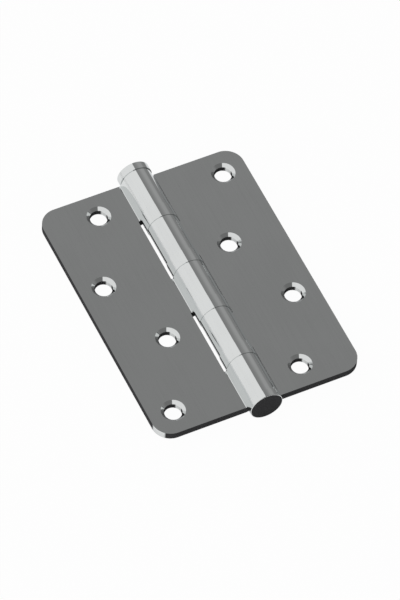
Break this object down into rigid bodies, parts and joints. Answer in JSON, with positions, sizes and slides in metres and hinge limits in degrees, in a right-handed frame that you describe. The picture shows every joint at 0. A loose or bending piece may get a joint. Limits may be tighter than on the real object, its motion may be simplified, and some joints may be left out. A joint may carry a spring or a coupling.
{
  "type": "butt hinge",
  "caption": "plated steel butt hinge with rolled knuckles, ball bearings between the knuckles, rounded outer corners and zigzag countersunk screw holes",
  "frame": {"origin": "under the middle of the pin, level with the lowest point of the end caps", "axes": "X across the open leaves towards the door leaf, Y along the pin towards the top, Z out of the front faces"},
  "size_m": [0.075, 0.1056, 0.0117],
  "materials": {
    "leaf_plating": "bright nickel plate on sheet steel",
    "cap_plating": "bright nickel plate on turned steel",
    "bearing_plating": "bright nickel plate on turned steel",
    "pin_steel": "drawn steel",
    "race_steel": "ground steel",
    "cage_brass": "stamped brass",
    "ball_steel": "polished steel"
  },
  "bodies": {
    "frame_side": {"frame_leaf": "leaf_plating", "hinge_pin": "pin_steel", "top_cap": "cap_plating", "bottom_cap": "cap_plating", "bearing_1_cup": "bearing_plating", "bearing_2_race": "race_steel", "bearing_3_cup": "bearing_plating", "bearing_4_race": "race_steel"},
    "door_side": {"door_leaf": "leaf_plating", "bearing_1_race": "race_steel", "bearing_2_cup": "bearing_plating", "bearing_3_race": "race_steel", "bearing_4_cup": "bearing_plating"},
    "ball_ring_1": {"bearing_1_cage": "cage_brass", "bearing_1_balls": "ball_steel"},
    "ball_ring_2": {"bearing_2_cage": "cage_brass", "bearing_2_balls": "ball_steel"},
    "ball_ring_3": {"bearing_3_cage": "cage_brass", "bearing_3_balls": "ball_steel"},
    "ball_ring_4": {"bearing_4_cage": "cage_brass", "bearing_4_balls": "ball_steel"}
  },
  "joints": [
    {"name": "leaf_swing", "type": "hinge", "parent": "frame_side", "child": "door_side", "pos_m": [0, 0, 0.00585], "axis": [0, -1, 0], "range_deg": [-90, 180]},
    {"name": "ball_ring_1_turn", "type": "hinge", "parent": "frame_side", "child": "ball_ring_1", "pos_m": [0, 0.0312, 0.00585], "axis": [0, -1, 0], "range_deg": [-45, 90]},
    {"name": "ball_ring_2_turn", "type": "hinge", "parent": "frame_side", "child": "ball_ring_2", "pos_m": [0, 0.0104, 0.00585], "axis": [0, -1, 0], "range_deg": [-45, 90]},
    {"name": "ball_ring_3_turn", "type": "hinge", "parent": "frame_side", "child": "ball_ring_3", "pos_m": [0, -0.0104, 0.00585], "axis": [0, -1, 0], "range_deg": [-45, 90]},
    {"name": "ball_ring_4_turn", "type": "hinge", "parent": "frame_side", "child": "ball_ring_4", "pos_m": [0, -0.0312, 0.00585], "axis": [0, -1, 0], "range_deg": [-45, 90]}
  ],
  "couplings": [
    {"joint": "ball_ring_1_turn", "follows": "leaf_swing", "ratio": 0.5},
    {"joint": "ball_ring_2_turn", "follows": "leaf_swing", "ratio": 0.5},
    {"joint": "ball_ring_3_turn", "follows": "leaf_swing", "ratio": 0.5},
    {"joint": "ball_ring_4_turn", "follows": "leaf_swing", "ratio": 0.5}
  ]
}
